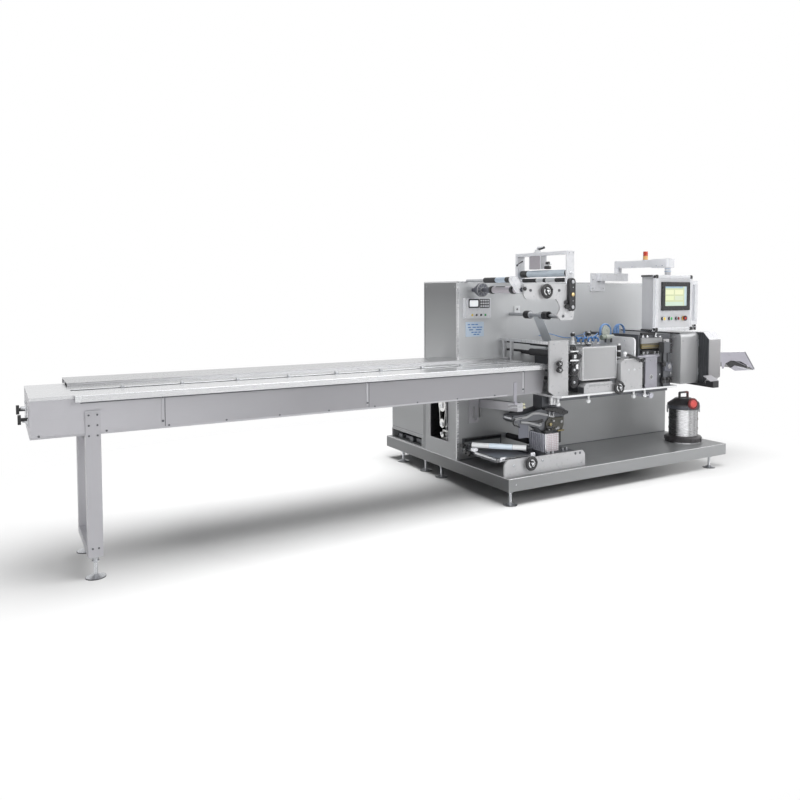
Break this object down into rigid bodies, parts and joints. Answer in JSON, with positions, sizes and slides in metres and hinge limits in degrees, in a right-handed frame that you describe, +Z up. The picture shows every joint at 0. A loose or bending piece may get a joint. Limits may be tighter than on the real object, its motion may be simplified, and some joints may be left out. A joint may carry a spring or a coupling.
{
  "type": "four side seal packing machine",
  "caption": "Packing line machine that seals goods between two films on all four sides, with a long pusher infeed, film units, cutter covers, a chute and a swing-arm operator panel.",
  "frame": {"origin": "floor contact of the levelling foot at the platform's front left corner", "axes": "+X along the line from infeed to discharge, +Y from the operator's side to the back, +Z up"},
  "size_m": [5.425, 1.9, 1.7307],
  "materials": {
    "white_enamel": "semi-gloss",
    "cream_enamel": "semi-gloss",
    "stainless": "brushed",
    "bright_steel": "polished",
    "dark_steel": "satin",
    "black_plastic": "matt",
    "roller_steel": "turned",
    "smoked_cover": "gloss",
    "film": "gloss",
    "hose_blue": "gloss",
    "lamp_lens": "gloss",
    "screen_glass": "gloss"
  },
  "bodies": {
    "machine": {"air_hoses": "hose_blue", "arm_bracket": "white_enamel", "base_frame": "stainless", "belt_drive": "bright_steel", "belt_guard": "dark_steel", "chain_sprockets": "dark_steel", "clamp_lever": "black_plastic", "collector_drum": "stainless", "collector_head": "dark_steel", "control_box": "white_enamel", "conveyor_leg": "stainless", "conveyor_trough": "stainless", "cutter_base": "dark_steel", "cutter_cover": "white_enamel", "deck_plate": "stainless", "discharge_chute": "stainless", "end_seal_box": "stainless", "end_seal_frame": "dark_steel", "end_seal_jaws": "roller_steel", "end_seal_plate": "stainless", "film_portal": "stainless", "film_side_plate": "cream_enamel", "film_web": "film", "front_rail": "stainless", "guide_rollers": "dark_steel", "infeed_frame": "stainless", "infeed_rollers": "black_plastic", "infeed_side_plate": "cream_enamel", "levelling_feet": "bright_steel", "lower_carriage": "dark_steel", "lower_slide_plate": "cream_enamel", "main_cabinet": "stainless", "outfeed_cover": "smoked_cover", "portal_adjuster": "dark_steel", "pusher_chain": "dark_steel", "rear_cabinet": "stainless", "rear_table": "stainless", "seal_adjuster": "stainless", "seal_cover": "stainless", "seal_housing": "dark_steel", "seal_knobs": "black_plastic", "seal_side_plate": "cream_enamel", "seal_wheels": "roller_steel", "support_beam": "stainless", "swing_arms": "dark_steel", "tail_cover": "stainless", "tail_knobs": "black_plastic", "turning_frame": "dark_steel"},
    "swing_arm": {"panel_arm": "cream_enamel", "beacon_lamp": "lamp_lens"},
    "panel": {"operator_panel": "white_enamel", "panel_frame": "white_enamel", "panel_screen": "screen_glass", "panel_buttons": "black_plastic", "panel_handle": "bright_steel"},
    "upper_wheel": {"upper_handwheel": "black_plastic"},
    "deck_wheel": {"deck_handwheel": "black_plastic"},
    "lower_wheel": {"lower_handwheel": "black_plastic"},
    "reel": {"film_reel": "bright_steel"},
    "roll": {"film_roll": "film"}
  },
  "joints": [
    {"name": "arm_swing", "type": "hinge", "parent": "machine", "child": "swing_arm", "pos_m": [1.5, 0.545, 1.62], "axis": [0, 0, 1], "range_deg": [-8, 50]},
    {"name": "panel_turn", "type": "hinge", "parent": "swing_arm", "child": "panel", "pos_m": [1.5, 0.025, 1.57], "axis": [0, 0, 1], "range_deg": [-40, 40]},
    {"name": "upper_wheel_turn", "type": "hinge", "parent": "machine", "child": "upper_wheel", "pos_m": [0.262, -0.03, 1.408], "axis": [0, 1, 0], "continuous": true},
    {"name": "deck_wheel_turn", "type": "hinge", "parent": "machine", "child": "deck_wheel", "pos_m": [0.912, -0.06, 0.723], "axis": [0, 1, 0], "continuous": true},
    {"name": "lower_wheel_turn", "type": "hinge", "parent": "machine", "child": "lower_wheel", "pos_m": [0.152, -0.03, 0.263], "axis": [0, 1, 0], "continuous": true},
    {"name": "reel_spin", "type": "hinge", "parent": "machine", "child": "reel", "pos_m": [0.089, 0.3, 1.418], "axis": [0, 1, 0], "continuous": true},
    {"name": "roll_spin", "type": "hinge", "parent": "machine", "child": "roll", "pos_m": [0.49, 0.25, 1.534], "axis": [0, 1, 0], "continuous": true}
  ]
}
